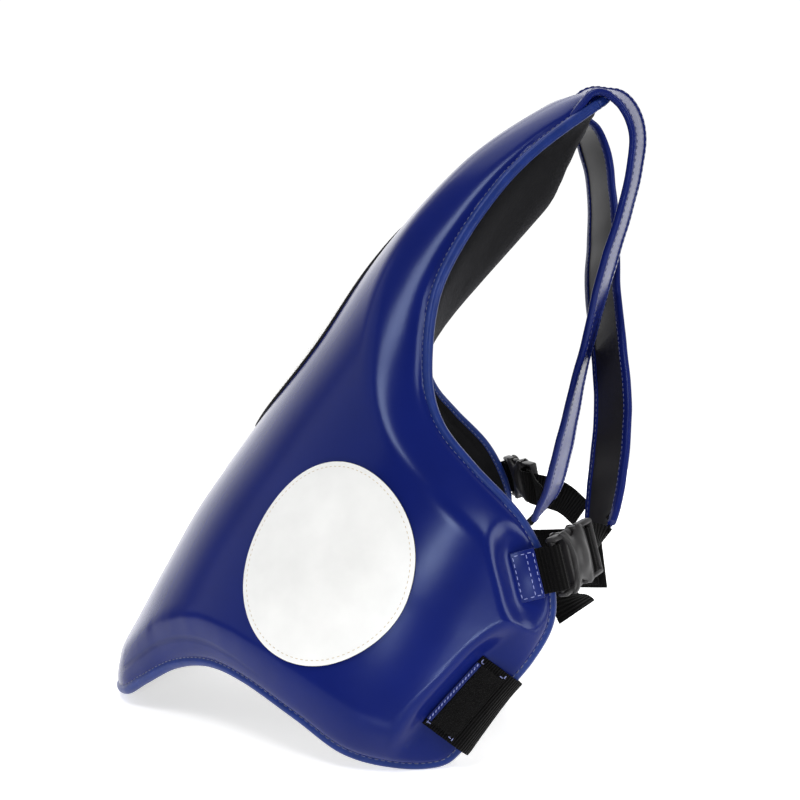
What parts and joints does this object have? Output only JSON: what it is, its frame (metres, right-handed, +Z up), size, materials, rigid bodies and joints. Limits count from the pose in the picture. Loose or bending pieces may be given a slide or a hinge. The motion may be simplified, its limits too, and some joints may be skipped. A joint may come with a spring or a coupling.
{
  "type": "trainer body protector",
  "caption": "Padded leather vest that shields a trainer's chest and belly, standing on its hem, with crossed shoulder straps, side-release buckles and waist closures.",
  "frame": {"origin": "middle of the bounding box at floor level", "axes": "X to the wearer's left, Y from the front to the back, Z up"},
  "size_m": [0.3696, 0.3432, 0.3774],
  "materials": {
    "leather": "satin",
    "binding": "satin",
    "lining": "matte",
    "patch": "satin",
    "webbing": "matte",
    "plastic": "satin",
    "pile": "matte"
  },
  "bodies": {
    "root": {"padded_body": "leather", "left_shoulder_strap": "leather", "right_shoulder_strap": "leather", "left_buckle_tab": "leather", "right_buckle_tab": "leather", "hem_binding": "binding", "left_edge_binding": "binding", "right_edge_binding": "binding", "neck_binding": "binding", "lining": "lining", "left_patch": "patch", "right_patch": "patch", "front_patch": "patch", "left_buckle_loop": "webbing", "right_buckle_loop": "webbing", "left_strap_webbing": "webbing", "right_strap_webbing": "webbing", "left_waist_tab": "webbing", "right_waist_belt": "webbing", "left_buckle_female": "plastic", "left_buckle_male": "plastic", "right_buckle_female": "plastic", "right_buckle_male": "plastic", "left_loop_patch": "pile", "right_hook_patch": "pile"}
  },
  "joints": []
}
